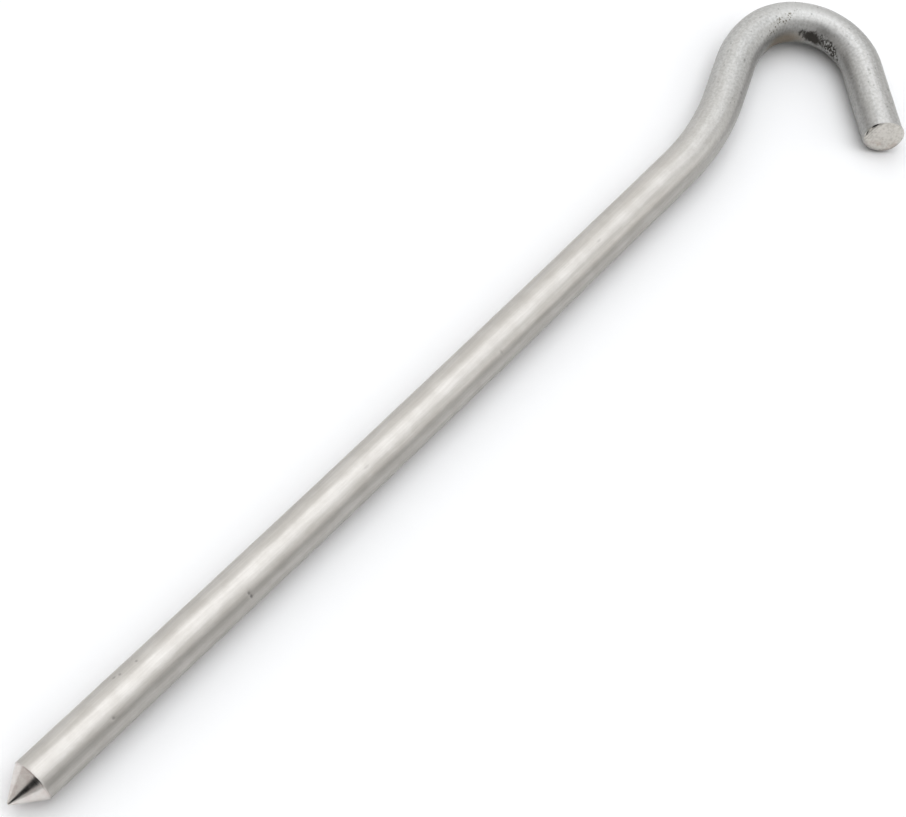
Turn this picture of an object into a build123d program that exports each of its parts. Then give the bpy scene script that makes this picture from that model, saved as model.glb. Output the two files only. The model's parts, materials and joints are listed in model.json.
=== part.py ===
from build123d import *
import math
import os

# A hook tent stake, made from one length of solid round aluminium bar. One end is turned to a
# point, the bar is bent cold round three formers into a hook, and the other end is left as sheared.
#
# Millimetres and degrees. The stake lies flat: the bar's centre line is in one level plane, the
# shank runs along Y with the point at -Y, and the hook at +Y curls over towards +X. +Z is up. The
# origin is under the middle of the stake, on the surface that it lies on.

# Driving dimensions
bar_diameter = 6.35
overall_length = 181.0  # from the tip of the point to the top of the hook
point_angle = 71.0  # included angle of the turned cone
point_nose_radius = 0.3  # the tip is blunt, not a needle
neck_former_radius = 39.7  # round this the bar leans away from the side that the hook opens on
neck_angle = 22.5
neck_straight = 7.1
shoulder_former_radius = 13.9  # the hook starts on an easier radius than it ends with
shoulder_angle = 25.0
crown_former_radius = 6.8  # inside radius of the hook, where a guy line sits
crown_angle = 126.6
tail_straight = 13.0
sheared_edge_radius = 0.3  # the shear drags the bar's edge over

# The centre line of a bar bent round a former runs half a bar outside the former's surface.
bar_radius = bar_diameter / 2
neck_radius = neck_former_radius + bar_radius
shoulder_radius = shoulder_former_radius + bar_radius
crown_radius = crown_former_radius + bar_radius

# The cone starts at the bar's full diameter. Its nose is a small ball, tangent to the cone's side.
half_angle = math.radians(point_angle / 2)
cone_length = bar_radius / math.tan(half_angle)  # to the sharp apex that the nose rounds off
apex_to_ball_centre = point_nose_radius / math.sin(half_angle)
point_length = cone_length - (apex_to_ball_centre - point_nose_radius)


def onward(line, length):
    """A straight run of this length that carries on from the end of a line."""
    return Line(line @ 1, line @ 1 + (line % 1) * length)


def turned_point(base):
    """The cone and its ball nose, pointing to -Y from a base centred on this point."""
    ball_centre = (0, base.Y - cone_length + apex_to_ball_centre)
    nose = CenterArc(ball_centre, point_nose_radius, 270, 90 - point_angle / 2)
    side_and_base = Polyline(nose @ 1, (bar_radius, base.Y), (0, base.Y), nose @ 0)
    return revolve(make_face(nose + side_and_base), Axis.Y)


# The hook is drawn on from the top of the shank, which is at (0, 0) here.
neck = JernArc((0, 0), (0, 1), neck_radius, neck_angle)
neck_run = onward(neck, neck_straight)
shoulder = JernArc(neck_run @ 1, neck_run % 1, shoulder_radius, -shoulder_angle)
crown = JernArc(shoulder @ 1, shoulder % 1, crown_radius, -crown_angle)
tail = onward(crown, tail_straight)
hook_height = crown.arc_center.Y + crown_radius + bar_radius

# The shank takes what the point and the hook leave of the overall length.
shank_length = overall_length - point_length - hook_height
shank = Line((0, -shank_length), (0, 0))

centre_line = Wire([shank, neck, neck_run, shoulder, crown, tail])
section = Plane(shank @ 0, z_dir=shank % 0) * Circle(bar_radius)
bar = sweep(section, path=centre_line)
sheared_face = bar.faces().sort_by_distance(tail @ 1)[0]
bar = fillet(sheared_face.edges(), sheared_edge_radius)
stake = bar + turned_point(shank @ 0)

bounds = stake.bounding_box()
to_origin = Location((-bounds.center().X, -bounds.center().Y, -bounds.min.Z))
stake = stake.moved(to_origin)
stake.label = "stake"

swept_volume = section.area * centre_line.length
print("straight shank", round(shank_length, 3), "mm, its top at", to_origin.position)
print("hook centre from there", crown.arc_center, "tail end", tail @ 1)
print("cut length of the bar", round(centre_line.length + cone_length, 2), "mm")
print("volume", round(stake.volume, 1), "mm3, section times length", round(swept_volume, 1), "mm3")

os.makedirs("parts", exist_ok=True)
export_step(stake, "parts/stake.step")
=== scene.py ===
import json
import math

import bmesh
import bpy
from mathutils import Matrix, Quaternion, Vector, noise


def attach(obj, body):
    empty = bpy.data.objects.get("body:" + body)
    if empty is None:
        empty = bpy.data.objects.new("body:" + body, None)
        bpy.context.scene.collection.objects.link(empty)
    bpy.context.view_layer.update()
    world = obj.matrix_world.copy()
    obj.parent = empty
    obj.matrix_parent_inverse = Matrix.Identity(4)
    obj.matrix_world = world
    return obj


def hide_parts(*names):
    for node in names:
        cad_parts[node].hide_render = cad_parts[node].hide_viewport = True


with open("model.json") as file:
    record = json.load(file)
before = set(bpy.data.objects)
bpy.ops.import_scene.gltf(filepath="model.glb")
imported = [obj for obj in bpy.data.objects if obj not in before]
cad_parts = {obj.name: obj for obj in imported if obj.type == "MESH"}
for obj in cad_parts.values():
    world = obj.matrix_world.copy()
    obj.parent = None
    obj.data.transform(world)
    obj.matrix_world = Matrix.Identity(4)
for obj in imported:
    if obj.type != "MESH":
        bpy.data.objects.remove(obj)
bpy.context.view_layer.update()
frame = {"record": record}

# ---------------------------------------------------------------------------------------------
# The hook stake is one length of solid round aluminium bar, drawn to size, turned to a point at
# one end, sheared off at the other, tumbled to a satin skin, and bent cold round three formers.
# Its mesh is made the same way, straight first: Y runs along the bar from the base of the point.

MM = 0.001
shank = next(m for m in frame["record"]["mounts"] if m["name"] == "shank")
bar_radius = shank["dims"]["r_mm"] * MM
shank_length = shank["dims"]["length_mm"] * MM
shank_foot = Vector(shank["pos_m"]) + Vector(shank["axis"]) * shank_length / 2

# Each bend in turn: its former's radius, its angle, left of the way along as plus, and the
# straight run that follows it.
bends = [
    (39.7 * MM, math.radians(22.5), 7.1 * MM),  # the neck leans out
    (13.9 * MM, math.radians(-25.0), 0.0),  # the hook starts on an easy radius
    (6.8 * MM, math.radians(-126.6), 13.0 * MM),  # and closes on a tighter one, then the tail
]
bar_length = shank_length + sum(
    abs(angle) * (former + bar_radius) + run for former, angle, run in bends
)

# The nicks that handling has left: place along the bar, angle round it from the top, half its
# length along the bar, half its width round it, and depth. Millimetres and degrees.
nicks = [
    (36.5, 40, 0.20, 0.26, 0.060),
    (36.6, 51, 0.24, 0.34, 0.080),
    (12.1, 36, 0.26, 0.22, 0.050),
    (16.0, -41, 0.30, 0.26, 0.045),
    (16.8, -35, 0.24, 0.24, 0.055),
    (19.5, -30, 0.22, 0.24, 0.050),
    (61.0, 12, 0.60, 0.20, 0.022),
    (88.5, 38, 0.24, 0.45, 0.025),
    (113.0, 5, 0.50, 0.22, 0.022),
    (156.5, 20, 0.34, 0.26, 0.050),
    (150.8, 44, 0.30, 0.24, 0.040),
    (189.5, 10, 0.35, 0.25, 0.040),
    (193.2, -38, 0.30, 0.34, 0.045),
]

half_point = math.radians(71.0 / 2)
nose_radius = 0.3 * MM
cone_length = bar_radius / math.tan(half_point)
ball_middle = nose_radius / math.sin(half_point) - cone_length
edge_radius = 0.3 * MM  # the shear drags the bar's edge over

# How finely the blank is divided: its sides, and the steps along its outline.
sides = 112
shank_step = 0.40 * MM
hook_step = 0.30 * MM
point_step = 0.10 * MM
base_step = 0.04 * MM  # across the turned burr where the cone meets the bar
nick_step = 0.12 * MM
end_step = 0.08 * MM
rim_step = 0.05 * MM
face_step = 0.14 * MM


def spread(start, end, step):
    """Places from start up to, but not at, end, evenly spread at about this step."""
    count = max(1, round(abs(end - start) / step))
    return [start + (end - start) * i / count for i in range(count)]


nose_turn = math.pi / 2 - half_point
nose = [
    (nose_radius * math.sin(turn), ball_middle - nose_radius * math.cos(turn))
    for turn in spread(0.0, nose_turn, nose_turn / 5)
]
nose_end = (nose_radius * math.sin(nose_turn), ball_middle - nose_radius * math.cos(nose_turn))
burr_reach = 0.28 * MM
cone_stations = spread(nose_end[1], -burr_reach, point_step) + spread(-burr_reach, 0.0, base_step)
cone_side = [(bar_radius + y * math.tan(half_point), y) for y in cone_stations]

worked_end = bar_length - 1.4 * MM  # from here the shear has moved the metal
bar_stations = spread(0.0, burr_reach, base_step)
reached = burr_reach
for middle, _, half_long, _, _ in sorted(nicks):
    near = max(reached, (middle - 3 * half_long) * MM)
    far = (middle + 3 * half_long) * MM
    bar_stations += spread(reached, near, shank_step if near < shank_length else hook_step)
    bar_stations += spread(near, far, nick_step)
    reached = far
bar_stations += spread(reached, worked_end, hook_step)
bar_stations += spread(worked_end, bar_length - edge_radius, end_step)
bar_side = [(bar_radius, y) for y in bar_stations]
dragged_edge = [
    (
        bar_radius - edge_radius * (1 - math.cos(turn)),
        bar_length - edge_radius * (1 - math.sin(turn)),
    )
    for turn in spread(0.0, math.pi / 2, math.pi / 14)
]
face_radius = bar_radius - edge_radius
rim_width = 0.6 * MM
sheared_face = [
    (x, bar_length)
    for x in spread(face_radius, face_radius - rim_width, rim_step)
    + spread(face_radius - rim_width, 0.0, face_step)
]
outline = nose + cone_side + bar_side + dragged_edge + sheared_face + [(0.0, bar_length)]

stock = bmesh.new()
corners = [stock.verts.new((0.0, y, x)) for x, y in outline]
edges = [stock.edges.new(pair) for pair in zip(corners, corners[1:])]
bmesh.ops.spin(
    stock, geom=corners + edges, cent=(0, 0, 0), axis=(0, 1, 0), dvec=(0, 0, 0),
    angle=2 * math.pi, steps=sides, use_merge=True, use_duplicate=False,
)
bmesh.ops.remove_doubles(stock, verts=stock.verts, dist=0.001 * MM)
bmesh.ops.recalc_face_normals(stock, faces=stock.faces)

# Three finishes on the one piece: the drawn and tumbled bar, the turned point, the sheared face.
TUMBLED, TURNED, SHEARED = 0, 1, 2
for face in stock.faces:
    face.normal_update()
    middle = face.calc_center_median()
    if middle.y < 0.0:
        face.material_index = TURNED
    elif middle.y > worked_end and face.normal.y > math.sin(math.radians(40)):
        face.material_index = SHEARED
    else:
        face.material_index = TUMBLED

# Each vertex keeps its place on the straight bar, in millimetres, because the finishes follow the
# bar through its bends, and how deep it lies in the tears that the shear left.
on_stock = stock.verts.layers.float_vector.new("stock")
torn = stock.verts.layers.float.new("torn")
for v in stock.verts:
    v[on_stock] = v.co / MM


def bell(distance, width):
    """1 at no distance, falling smoothly to nearly nothing at twice this width."""
    return math.exp(-((distance / width) ** 2))


def off_angle(angle, middle):
    """Degrees round the bar from the middle angle, the short way."""
    return (angle - middle + 180) % 360 - 180


# Heights and places on the skin, in millimetres.
burr_height = 0.030  # what the turning tool pushed up at the base of the point
runout_depth = 0.004  # the tool's run-out below that burr
worked_by_bending = (125, 150)  # the skin grows rougher between these two places
shank_roughness, hook_roughness = 0.010, 0.022
lumps, fine_lumps = 2.4, 0.8


def skin(place, angle):
    """How far the tumbled skin stands off a true cylinder, in millimetres."""
    start, full = worked_by_bending
    on_hook = min(1.0, max(0.0, (place.y - start) / (full - start)))
    uneven = shank_roughness + (hook_roughness - shank_roughness) * on_hook
    height = uneven * noise.noise(place / lumps) + 0.5 * uneven * noise.noise(place / fine_lumps)
    for middle, turned, half_long, half_wide, depth in nicks:
        along = place.y - middle
        if abs(along) > 3 * half_long:
            continue
        round_it = math.radians(off_angle(angle, turned)) * bar_radius / MM
        height -= depth * bell(math.hypot(along / half_long, round_it / half_wide), 1.0)
    height += burr_height * bell(place.y - 0.05, 0.08)
    return height


# The tears under the folded rim: their middles and half widths in degrees, and their depths in
# millimetres. They lie in from the face's edge by the inset.
tears = [(40, 14, 0.50), (74, 16, 0.20)]
tear_inset = 0.05
tear_width = 0.065


def tear_depth(angle, inset):
    """How deep the tears are at this angle and this far in from the face's edge."""
    depth = 0.0
    for middle, half, deepest in tears:
        share = min(1.0, abs(off_angle(angle, middle)) / half)
        depth = max(depth, deepest * (1 - share * share))
    return depth * bell(inset - tear_inset, tear_width)


# What else the blade did to the cut end. Reaches and heights are in millimetres, and each is
# greatest at its own angle round the bar, in degrees from the top.
edge_roll = 0.30
rim_roll, rim_angle = -0.22, 10  # the edge is nearly square under the folded rim
low_roll, low_angle = 0.50, 168  # and rolled over on the lower side
lip_reach, lip_angle = 0.16, -75  # a lip dragged over on the hook's outer side
ridge_height, ridge_pitch, ridge_angle = 0.045, 0.42, 58  # ridges beside the tears
bulge_height, bulge_angle = 0.07, 55  # a small bulge just inside the tears
dish_depth = 0.10  # the face is a little hollow in the middle
torn_grain = [(0.014, 0.70), (0.007, 0.30)]  # height and size of lumps, coarse and fine

# The cut is not square: its lower side stands furthest out, and it falls back at the tears.
face_ahead = 0.25
face_slope = Vector((-0.10, 0.0, -0.20))
fall_back, fall_angle = 0.25, 60


def sheared(place, angle):
    """Where the shear has moved a place near the cut end, in millimetres, and its tear's depth."""
    length = bar_length / MM
    radius = bar_radius / MM
    edge = edge_radius / MM
    reach = (bar_length - worked_end) / MM
    out = math.hypot(place.x, place.z)
    back = length - place.y
    rolled = edge_roll + rim_roll * bell(off_angle(angle, rim_angle), 90)
    rolled += low_roll * bell(off_angle(angle, low_angle), 50)
    if back >= edge:
        inset = 0.0
        back = rolled + (back - edge) * (reach - rolled) / (reach - edge)
    elif out > radius - edge:
        inset = (radius - out) * rolled / edge
        back = back * rolled / edge
    else:
        inset = rolled + (radius - edge - out) * (radius - rolled) / (radius - edge)
    lip = lip_reach * bell(off_angle(angle, lip_angle), 40) * bell(back, 0.40)
    out_now = radius - inset + lip * (1 - inset / radius)
    # On the face itself there are ridges beside the tears, a coarse torn grain, and the tears.
    on_face = min(1.0, max(0.0, (inset - 0.6 * rolled) / 0.1))
    across = out * math.cos(math.radians(off_angle(angle, ridge_angle)))
    ridge = ridge_height * bell(across - 2.9, 1.1) * bell(off_angle(angle, ridge_angle), 50)
    relief = ridge * math.sin(across * 2 * math.pi / ridge_pitch)
    relief += sum(height * noise.noise(place / size) for height, size in torn_grain)
    relief += dish_depth * (1 - bell(out, 2.4))
    bulge = bell(inset - rolled - 0.20, 0.08) * bell(off_angle(angle, bulge_angle), 30)
    relief += bulge_height * bulge
    depth = tear_depth(angle, inset - rolled) if inset > 0 else 0.0
    slant = face_ahead + face_slope.dot(place)
    slant -= fall_back * bell(off_angle(angle, fall_angle), 36) * (out / radius) ** 2
    slant *= max(0.0, 1 - back / reach) ** 1.5
    back -= on_face * relief - depth + slant
    scale = out_now / out if out > 1e-6 else 1.0
    return Vector((place.x * scale, length - back, place.z * scale)), depth


for v in stock.verts:
    place = v.co / MM
    angle = math.degrees(math.atan2(place.x, place.z))
    if v.co.y > worked_end:
        place, v[torn] = sheared(place, angle)
    out = math.hypot(place.x, place.z)
    true_skin = v.co.y > -burr_reach and math.hypot(v.co.x, v.co.z) > bar_radius - burr_reach
    if true_skin and v.co.y < bar_length - edge_radius / 2:
        fading = min(1.0, max(0.0, (bar_length - v.co.y) / (bar_length - worked_end)))
        height = skin(v[on_stock], angle) * fading
        if v.co.y < 0:
            height = -runout_depth * bell(place.y + 0.13, 0.06)
        place += Vector((place.x, 0, place.z)) / out * height
    v.co = place * MM

# ---------------------------------------------------------------------------------------------
# Bending. The blank is bent cold round three formers, all in one plane, and the long shank has
# sprung back into a bow too slight to see without a straight edge.

bow = 0.39 * MM


def bent(place):
    """Where a place on the straight bar goes when the bar is bent."""
    along = min(place.y, shank_length)
    at = shank_foot + Vector((bow * math.sin(math.pi * along / shank_length), along, 0))
    heading = math.pi / 2
    left = place.y - along
    for former, angle, run in bends:
        radius = former + bar_radius
        arc = min(left, abs(angle) * radius)
        turn = math.copysign(arc / radius, angle)
        side = math.copysign(radius, angle)
        centre = at + Vector((-math.sin(heading), math.cos(heading), 0)) * side
        heading += turn
        at = centre - Vector((-math.sin(heading), math.cos(heading), 0)) * side
        left -= arc
        step = min(left, run) if (former, angle, run) != bends[-1] else left
        at = at + Vector((math.cos(heading), math.sin(heading), 0)) * step
        left -= step
    right = Vector((math.sin(heading), -math.cos(heading), 0))
    return at + right * place.x + Vector((0, 0, place.z))


for v in stock.verts:
    v.co = bent(v.co)

bmesh.ops.recalc_face_normals(stock, faces=stock.faces)
for edge in stock.edges:
    edge.smooth = edge.calc_face_angle(0.0) < math.radians(30)
for face in stock.faces:
    face.smooth = True

# The bar's skin is laid out flat in three strips, one above the other, and the sheared face
# stands beside them as a disc, all at one scale.
strips = 3
strip_length = (bar_length + cone_length) / strips / MM
margin = 0.01
flat_scale = (1 - 2 * margin) / strip_length
layout = stock.loops.layers.uv.new("OFBake")
for face in stock.faces:
    middle = sum((v[on_stock] for v in face.verts), Vector()) / len(face.verts)
    along = middle.y + cone_length / MM
    strip = min(strips - 1, int(along / strip_length))
    turned = math.atan2(middle.x, middle.z)
    for loop in face.loops:
        place = loop.vert[on_stock]
        if face.material_index == SHEARED:
            disc_middle = bar_radius / MM * flat_scale + 2 * margin
            flat = (disc_middle + place.x * flat_scale, 1 - disc_middle + place.z * flat_scale)
        else:
            around = math.atan2(place.x, place.z) if math.hypot(place.x, place.z) > 0.01 else turned
            around = turned + (around - turned + math.pi) % (2 * math.pi) - math.pi
            girth = 2 * math.pi * bar_radius / MM * flat_scale
            flat = (
                margin + (place.y + cone_length / MM - strip * strip_length) * flat_scale,
                margin + (strip + 0.5 + around / (2 * math.pi)) * girth + strip * margin,
            )
        loop[layout].uv = flat

mesh = bpy.data.meshes.new("hook_stake")
stock.to_mesh(mesh)
stock.free()
stake = bpy.data.objects.new("hook_stake", mesh)
bpy.context.scene.collection.objects.link(stake)
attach(stake, "root")
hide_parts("stake")

# ---------------------------------------------------------------------------------------------
# Finishing. The stake is one bare aluminium all over, left in three finishes: the skin that
# drawing and tumbling gave it, the bright point from the lathe, and the dull face from the shear.
# Bending it round the formers and handling it left marks on the hook. Shade is painted at the
# point's base and on the sheared face.

# Tones of the metal, in pairs from darker to lighter, and of what lies on it, and of the shade
# painted on it.
shank_tones = [(0.545, 0.528, 0.503, 1), (0.580, 0.564, 0.541, 1)]
hook_tones = [(0.505, 0.503, 0.492, 1), (0.585, 0.583, 0.573, 1)]
point_tones = [(0.70, 0.655, 0.63, 1), (0.76, 0.735, 0.71, 1)]
torn_tones = [(0.69, 0.67, 0.635, 1), (0.76, 0.74, 0.705, 1)]
draw_streak = (0.45, 0.435, 0.41, 1)
rubbed_metal = (0.645, 0.645, 0.635, 1)
pit_dirt = (0.22, 0.22, 0.21, 1)
nick_dirt = (0.16, 0.15, 0.15, 1)
lubricant_film = (0.34, 0.29, 0.23, 1)
freckle_brown = (0.18, 0.165, 0.13, 1)
scuff_charcoal = (0.14, 0.132, 0.122, 1)
painted_base_shadow = (0.30, 0.27, 0.26, 1)
painted_ridge_shade = (0.46, 0.445, 0.42, 1)
painted_underside_shade = (0.62, 0.54, 0.49, 1)
painted_rolled_rim_shade = (0.40, 0.385, 0.375, 1)
painted_tear_shadow = (0.01, 0.01, 0.01, 1)

# Marks on the hook, each an oval on the unrolled skin: the place of its middle along the bar and
# round it, half its length and half its width, and its lean. Millimetres and degrees.
rubbed_oval = ((174.0, -15.0), (10.0, 2.6), 0.0)
film_oval = ((168.5, 95.0), (7.5, 2.3), 0.0)
scuff_head = ((175.9, 79.0), (3.0, 1.0), -10.0)
scuff_tail = ((180.6, 85.0), (4.4, 1.25), -12.0)
freckle_band = ((168.4, 29.0), (4.6, 0.80), 14.0)

# How deep the fine relief of each finish is, and the way the ridges step across the sheared face.
skin_relief = 0.012 * MM
ring_relief = 0.006 * MM
torn_relief = 0.012 * MM
ridge_way = (0.85, 0.0, 0.53)


def add(tree, kind, sockets, **settings):
    """Adds a node. Each socket gets a number, a colour or another node's output."""
    node = tree.nodes.new(kind)
    for name, value in settings.items():
        setattr(node, name, value)
    for socket, value in sockets.items():
        if isinstance(value, bpy.types.NodeSocket):
            tree.links.new(value, node.inputs[socket])
        else:
            node.inputs[socket].default_value = value
    return node


def calc(tree, operation, first, second=0.0):
    """A sum on one or two values."""
    return add(tree, "ShaderNodeMath", {0: first, 1: second}, operation=operation).outputs[0]


def grain(tree, vector, scale, detail=3.0):
    """Uneven grey, about 0.5 on average, with this many lumps to the millimetre."""
    sockets = {"Vector": vector, "Scale": scale, "Detail": detail}
    return add(tree, "ShaderNodeTexNoise", sockets).outputs["Fac"]


def between(tree, value, low, high, to_low=0.0, to_high=1.0):
    """Takes a value's range from low to high smoothly to another range, and holds it there."""
    sockets = {0: value, 1: low, 2: high, 3: to_low, 4: to_high}
    return add(
        tree, "ShaderNodeMapRange", sockets, interpolation_type="SMOOTHSTEP"
    ).outputs[0]


def stretched(tree, vector, scale):
    """The same place with each direction drawn out or shortened."""
    return add(
        tree, "ShaderNodeMapping", {"Vector": vector, "Scale": scale}, vector_type="POINT"
    ).outputs[0]


def blended(tree, share, first, second):
    """One colour going over to the other. A Mix node's colours are sockets 6 and 7, out at 2."""
    mix = add(tree, "ShaderNodeMix", {0: share, 6: first, 7: second}, data_type="RGBA")
    return mix.outputs[2]


def oval(tree, flat, middle, half_size, lean):
    """Distance from an oval's middle on the unrolled skin, with 1 at its edge."""
    around = math.radians(middle[1]) * bar_radius / MM
    sockets = {
        "Vector": flat,
        "Location": (around, middle[0], 0),
        "Rotation": (0, 0, math.radians(lean)),
        "Scale": (half_size[1], half_size[0], 1),
    }
    placed = add(tree, "ShaderNodeMapping", sockets, vector_type="TEXTURE").outputs[0]
    return add(
        tree, "ShaderNodeVectorMath", {0: placed}, operation="LENGTH"
    ).outputs["Value"]


def bare_aluminium(name):
    """A metal finish to be filled in: its tree, its shader and the place on the straight bar."""
    finish = bpy.data.materials.new(name)
    finish.use_nodes = True
    tree = finish.node_tree
    shader = tree.nodes["Principled BSDF"]
    shader.inputs["Metallic"].default_value = 1.0
    place = add(tree, "ShaderNodeAttribute", {}, attribute_name="stock").outputs["Vector"]
    mesh.materials.append(finish)
    return tree, shader, place


# The tumbled skin is clean satin along the shank, and greyer and more pitted on the hook.
tree, shader, place = bare_aluminium("tumbled_skin")
axes = add(tree, "ShaderNodeSeparateXYZ", {0: place}).outputs
turned = calc(tree, "ARCTAN2", axes["X"], axes["Z"])
around = calc(tree, "MULTIPLY", turned, bar_radius / MM)
flat = add(tree, "ShaderNodeCombineXYZ", {"X": around, "Y": axes["Y"]}).outputs[0]
hook_share = between(tree, axes["Y"], 122.0, 160.0)

drawn = stretched(tree, place, (1.0, 0.05, 1.0))
streaks = grain(tree, drawn, 3.2, 4.0)
clouds = grain(tree, place, 0.30, 3.0)
peen = grain(tree, place, 2.3, 4.0)
fine = grain(tree, place, 6.5, 2.0)

shank_colour = blended(tree, between(tree, clouds, 0.35, 0.65), *shank_tones)
hook_colour = blended(tree, between(tree, peen, 0.35, 0.62), *hook_tones)
colour = blended(tree, hook_share, shank_colour, hook_colour)
streaked = between(tree, streaks, 0.40, 0.62, 0.22, 0.0)
colour = blended(tree, streaked, colour, draw_streak)

# The crown's outer side is rubbed a little brighter.
rubbed = between(tree, oval(tree, flat, *rubbed_oval), 1.0, 0.2, 0.0, 0.6)
colour = blended(tree, rubbed, colour, rubbed_metal)

# Pits hold a little dirt. They are few on the shank and thick on the hook.
pitting = add(tree, "ShaderNodeTexVoronoi", {"Vector": place, "Scale": 1.7}).outputs
chance = add(tree, "ShaderNodeSeparateColor", {0: pitting["Color"]}).outputs[0]
pit_chance = between(tree, hook_share, 0.0, 1.0, 0.93, 0.62)
pit_size = between(tree, calc(tree, "SUBTRACT", chance, pit_chance), 0.0, 0.4, 0.0, 0.30)
pits = between(tree, calc(tree, "SUBTRACT", pit_size, pitting["Distance"]), 0.0, 0.10)
pit_tone = calc(tree, "MULTIPLY", pits, between(tree, hook_share, 0.0, 1.0, 0.25, 0.42))
colour = blended(tree, pit_tone, colour, pit_dirt)

# The hook's inner side kept a warm film of drawing lubricant.
film = between(tree, oval(tree, flat, *film_oval), 1.0, 0.3, 0.0, 0.8)
colour = blended(tree, film, colour, lubricant_film)

# Dirt has settled in the nicks.
for middle, angle, half_long, half_wide, depth in nicks:
    spot = oval(tree, flat, (middle, angle), (half_long, half_wide), 0.0)
    dirt = between(tree, spot, 1.3, 0.2, 0.0, min(0.6, depth * 7))
    colour = blended(tree, dirt, colour, nick_dirt)

# Where the bar was dragged round the last former it picked up a charcoal scuff, thick at its
# first end and breaking up into specks along its tail.
ragged = calc(tree, "MULTIPLY", calc(tree, "SUBTRACT", grain(tree, place, 1.5, 3.0), 0.5), 1.5)
head = calc(tree, "ADD", oval(tree, flat, *scuff_head), ragged)
smear = between(tree, head, 1.25, 0.60)
specks = between(tree, grain(tree, place, 2.4, 3.0), 0.41, 0.55)
tail = calc(tree, "ADD", oval(tree, flat, *scuff_tail), ragged)
tail = calc(tree, "MULTIPLY", between(tree, tail, 1.15, 0.5), specks)
scuff = calc(tree, "MAXIMUM", smear, tail)

# A band of brown freckles lies beside it.
band = calc(tree, "ADD", oval(tree, flat, *freckle_band), ragged)
freckling = add(tree, "ShaderNodeTexVoronoi", {"Vector": place, "Scale": 3.0}).outputs
freckle_size = add(tree, "ShaderNodeSeparateColor", {0: freckling["Color"]}).outputs[0]
freckle_size = between(tree, freckle_size, 0.0, 1.0, 0.0, 0.60)
freckles = between(tree, calc(tree, "SUBTRACT", freckle_size, freckling["Distance"]), 0.0, 0.15)
band = calc(tree, "MULTIPLY", between(tree, band, 1.3, 0.5, 0.0, 0.75), freckles)
colour = blended(tree, band, colour, freckle_brown)
colour = blended(tree, scuff, colour, scuff_charcoal)
tree.links.new(colour, shader.inputs["Base Color"])

polish = between(tree, hook_share, 0.0, 1.0, 0.40, 0.50)
polish = calc(tree, "ADD", polish, between(tree, fine, 0.3, 0.7, -0.05, 0.05))
polish = calc(tree, "ADD", polish, calc(tree, "MULTIPLY", scuff, 0.15))
tree.links.new(polish, shader.inputs["Roughness"])

relief = calc(tree, "MULTIPLY", peen, between(tree, hook_share, 0.0, 1.0, 0.6, 0.8))
relief = calc(tree, "ADD", relief, calc(tree, "MULTIPLY", fine, 0.45))
relief = calc(tree, "ADD", relief, calc(tree, "MULTIPLY", streaks, 0.30))
relief = calc(tree, "SUBTRACT", relief, calc(tree, "MULTIPLY", pits, 0.5))
bump = add(tree, "ShaderNodeBump", {"Height": relief, "Strength": 0.8, "Distance": skin_relief})
tree.links.new(bump.outputs[0], shader.inputs["Normal"])

# The turned point is bright, with the tool's fine rings and a painted shadow line at its base,
# under the burr.
tree, shader, place = bare_aluminium("turned_point")
axes = add(tree, "ShaderNodeSeparateXYZ", {0: place}).outputs
rings = stretched(tree, place, (0.02, 1.0, 0.02))
coarse_rings = grain(tree, rings, 4.0, 3.0)
fine_rings = grain(tree, rings, 16.0, 2.0)
blotches = grain(tree, place, 0.9, 3.0)
colour = blended(tree, between(tree, blotches, 0.35, 0.65), *point_tones)
# A thin band at the cone's base is darkened: painted shadow under the burr.
base_shadow_mask = between(tree, axes["Y"], -0.22, -0.10, 0.0, 0.22)
colour = blended(tree, base_shadow_mask, colour, painted_base_shadow)
tree.links.new(colour, shader.inputs["Base Color"])
polish = between(tree, fine_rings, 0.3, 0.7, 0.16, 0.26)
tree.links.new(polish, shader.inputs["Roughness"])
relief = calc(tree, "ADD", coarse_rings, calc(tree, "MULTIPLY", fine_rings, 0.3))
bump = add(tree, "ShaderNodeBump", {"Height": relief, "Strength": 0.6, "Distance": ring_relief})
tree.links.new(bump.outputs[0], shader.inputs["Normal"])

# The sheared face is pale, torn and dull, with shade painted on it. Shade is painted across its
# ridges, which step the same way as those in its shape.
tree, shader, place = bare_aluminium("sheared_face")
torn_depth = add(tree, "ShaderNodeAttribute", {}, attribute_name="torn").outputs["Fac"]
crumbs = grain(tree, place, 2.6, 4.0)
blotches = grain(tree, place, 0.7, 2.0)
colour = blended(tree, between(tree, crumbs, 0.30, 0.60), *torn_tones)
axes = add(tree, "ShaderNodeSeparateXYZ", {0: place}).outputs
across = add(
    tree, "ShaderNodeVectorMath", {0: place, 1: ridge_way}, operation="DOT_PRODUCT"
).outputs["Value"]
# Painted shade in bands across the ridges.
ridges = calc(tree, "SINE", calc(tree, "MULTIPLY", across, 2 * math.pi / ridge_pitch))
ridges = calc(
    tree, "MULTIPLY", between(tree, ridges, -1.0, 1.0, 0.0, 0.5), between(tree, across, 1.7, 2.6)
)
colour = blended(tree, ridges, colour, painted_ridge_shade)
low_side = between(tree, axes["Z"], 0.0, -1.8)
# The lower side is painted darker and warmer, in blotches: painted shade where the face turns down.
lower_side_shading = calc(tree, "MULTIPLY", between(tree, blotches, 0.48, 0.62, 0.0, 0.5), low_side)
colour = blended(tree, lower_side_shading, colour, painted_underside_shade)
out = add(
    tree, "ShaderNodeVectorMath", {0: place, 1: (1, 0, 1)}, operation="MULTIPLY"
).outputs["Vector"]
out = add(tree, "ShaderNodeVectorMath", {0: out}, operation="LENGTH").outputs["Value"]
# The rolled lower rim is painted darker still: painted shade.
rolled = calc(tree, "MULTIPLY", between(tree, out, 2.3, 3.1, 0.0, 0.6), low_side)
colour = blended(tree, rolled, colour, painted_rolled_rim_shade)
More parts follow.
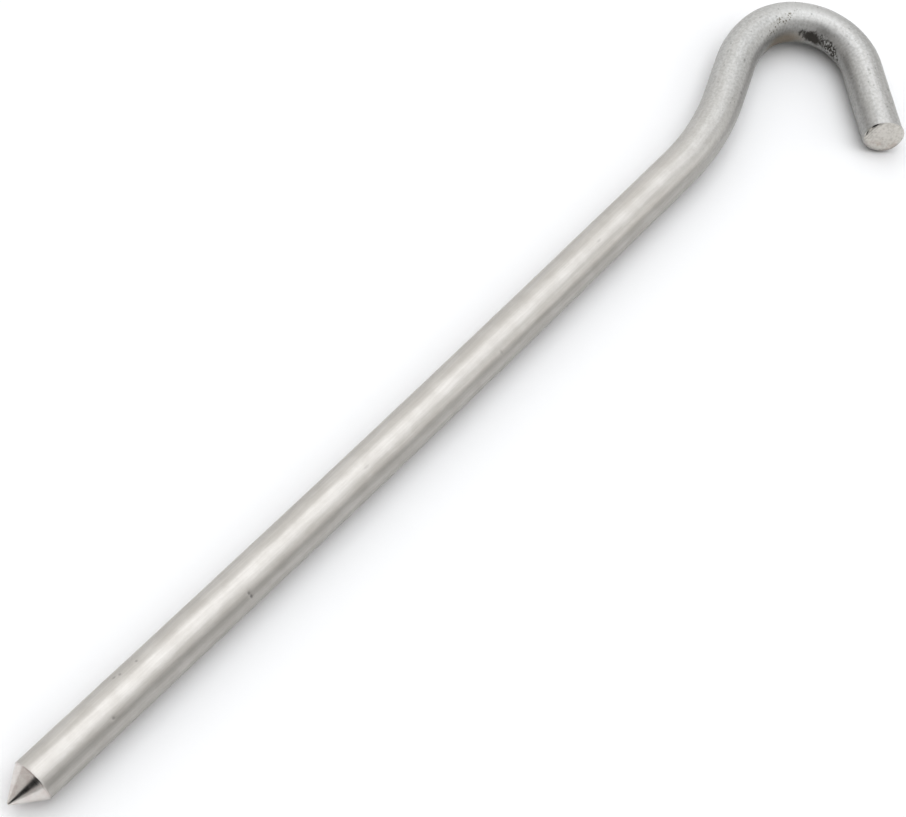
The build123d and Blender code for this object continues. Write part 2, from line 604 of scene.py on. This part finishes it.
# The deep parts of the tears are painted black: painted shade.
tear_shadow_mask = between(tree, torn_depth, 0.03, 0.26)
colour = blended(tree, tear_shadow_mask, colour, painted_tear_shadow)
tree.links.new(colour, shader.inputs["Base Color"])
tree.links.new(between(tree, crumbs, 0.3, 0.7, 0.62, 0.46), shader.inputs["Roughness"])
bump = add(tree, "ShaderNodeBump", {"Height": crumbs, "Strength": 0.8, "Distance": torn_relief})
tree.links.new(bump.outputs[0], shader.inputs["Normal"])

# ---------------------------------------------------------------------------------------------
# The table is a sheet of white card, cut much larger than the stake. It lies flat and runs out
# past the view on every side.

card_half_size = 3.0
card_white_tone = (0.91, 0.91, 0.91, 1)
sheet = bmesh.new()
bmesh.ops.create_grid(sheet, x_segments=1, y_segments=1, size=card_half_size)
card_mesh = bpy.data.meshes.new("card")
sheet.to_mesh(card_mesh)
sheet.free()
card = bpy.data.objects.new("card", card_mesh)
bpy.context.scene.collection.objects.link(card)
card_white = bpy.data.materials.new("card_white")
card_white.use_nodes = True
card_shader = card_white.node_tree.nodes["Principled BSDF"]
card_shader.inputs["Base Color"].default_value = card_white_tone
card_shader.inputs["Roughness"].default_value = 0.9
card_shader.inputs["Specular IOR Level"].default_value = 0.2
card_mesh.materials.append(card_white)

# ---------------------------------------------------------------------------------------------
# Soft studio light. Each lamp is told where it stands as a bearing, clockwise from +Y seen from
# above, and a height in degrees, then how wide it looks from the stake and how strong it is.


def lamp(name, bearing, height, width, strength, colour=(1, 1, 1)):
    """A far soft light seen from the stake under this angle."""
    light = bpy.data.lights.new(name, "SUN")
    light.energy = strength
    light.color = colour
    light.angle = math.radians(width)
    holder = bpy.data.objects.new(name, light)
    level = math.cos(math.radians(height))
    towards = Vector((
        math.sin(math.radians(bearing)) * level,
        math.cos(math.radians(bearing)) * level,
        math.sin(math.radians(height)),
    ))
    holder.rotation_euler = towards.to_track_quat("Z", "Y").to_euler()
    bpy.context.scene.collection.objects.link(holder)


lamp("tent", bearing=330, height=42, width=150, strength=2.58)
lamp("overhead_box", bearing=345, height=80, width=66, strength=0.92, colour=(0.94, 0.96, 1.0))
lamp("left_box", bearing=290, height=25, width=80, strength=0.45)
lamp("side_box", bearing=64, height=18, width=60, strength=0.50)
lamp("right_box", bearing=124, height=31, width=48, strength=0.49)
lamp("front_box", bearing=208, height=13, width=66, strength=0.70, colour=(1.0, 0.98, 0.97))
lamp("low_box", bearing=143, height=5, width=24, strength=0.07)

room_glow = 0.015  # the little light that the room itself gives
world = bpy.data.worlds.new("studio")
bpy.context.scene.world = world
world.use_nodes = True
tree = world.node_tree
room = tree.nodes["Background"]
room.inputs["Color"].default_value = (1, 1, 1, 1)
room.inputs["Strength"].default_value = room_glow
# A white wall stands far behind the table. It is seen, and adds no light.
wall = add(tree, "ShaderNodeBackground", {"Color": (1, 1, 1, 1), "Strength": 1.0})
seen = add(tree, "ShaderNodeLightPath", {}).outputs["Is Camera Ray"]
around_table = add(tree, "ShaderNodeMixShader", {0: seen, 1: room.outputs[0], 2: wall.outputs[0]})
tree.links.new(around_table.outputs[0], tree.nodes["World Output"].inputs["Surface"])

# ---------------------------------------------------------------------------------------------
# The camera looks down over the point end, a little turned about its own line of sight. It
# stands about thirty centimetres away, with a long lens.

camera_target = Vector((-2.476, -8.336, 3.175)) * MM
camera_bearing = math.radians(25.352)
camera_height = math.radians(60.764)
camera_roll = math.radians(17.739)
camera_distance = 302.74 * MM
lens_length = 85.43  # for a frame 36 mm wide
camera_data = bpy.data.cameras.new("camera")
camera_data.sensor_width = 36.0
camera_data.lens = lens_length
camera_data.clip_start = 0.01
camera = bpy.data.objects.new("camera", camera_data)
bpy.context.scene.collection.objects.link(camera)
away = Vector((
    math.sin(camera_bearing) * math.cos(camera_height),
    -math.cos(camera_bearing) * math.cos(camera_height),
    math.sin(camera_height),
))
camera.location = camera_target + away * camera_distance
facing = away.to_track_quat("Z", "Y")
facing.rotate(Quaternion(away, camera_roll))
camera.rotation_euler = facing.to_euler()
bpy.context.scene.camera = camera
bpy.context.scene.view_settings.view_transform = "Standard"
bpy.context.scene.view_settings.gamma = 0.72  # deepens the middle greys
